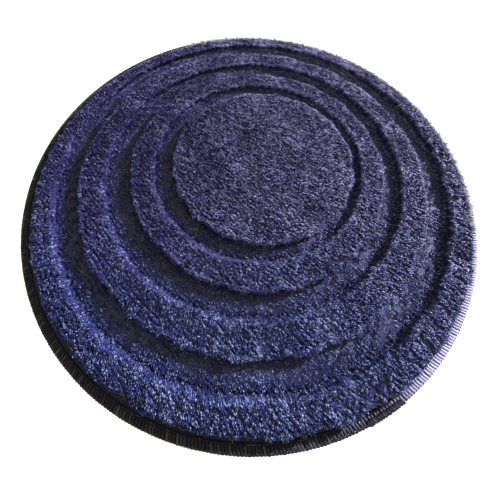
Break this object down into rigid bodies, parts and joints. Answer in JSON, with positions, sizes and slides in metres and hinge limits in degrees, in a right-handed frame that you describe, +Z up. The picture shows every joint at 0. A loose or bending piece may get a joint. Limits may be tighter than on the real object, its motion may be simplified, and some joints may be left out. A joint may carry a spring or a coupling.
{
  "type": "round tufted bath mat",
  "caption": "Round tufted bath mat: tall pile in a centre disc and rings, short pile in the channels between, grip coating below and overlocked rim.",
  "frame": {"origin": "centre of the mat's underside, on the floor", "axes": "+Z up out of the pile; the mat is round about it, and the pattern's small drift and the lap in the overlock set X: the centre disc lies a little towards +X"},
  "size_m": [0.61, 0.61, 0.015],
  "materials": {
    "pile_yarn": "navy microfibre pile yarn, soft sheen along the fibre tips",
    "backing_cloth": "navy woven backing cloth",
    "overlock_thread": "navy textured polyester thread with a slight shine",
    "grip_coating": "matt grey latex, lightly stippled"
  },
  "bodies": {
    "root": {"grip_coating": "grip_coating", "backing_cloth": "backing_cloth", "center_disc_pile": "pile_yarn", "inner_channel_pile": "pile_yarn", "inner_ring_pile": "pile_yarn", "middle_channel_pile": "pile_yarn", "middle_ring_pile": "pile_yarn", "outer_channel_pile": "pile_yarn", "outer_ring_pile": "pile_yarn", "overlock_lower_thread": "overlock_thread", "overlock_upper_thread": "overlock_thread", "overlock_needle_thread": "overlock_thread", "overlock_lap": "overlock_thread"}
  },
  "joints": []
}
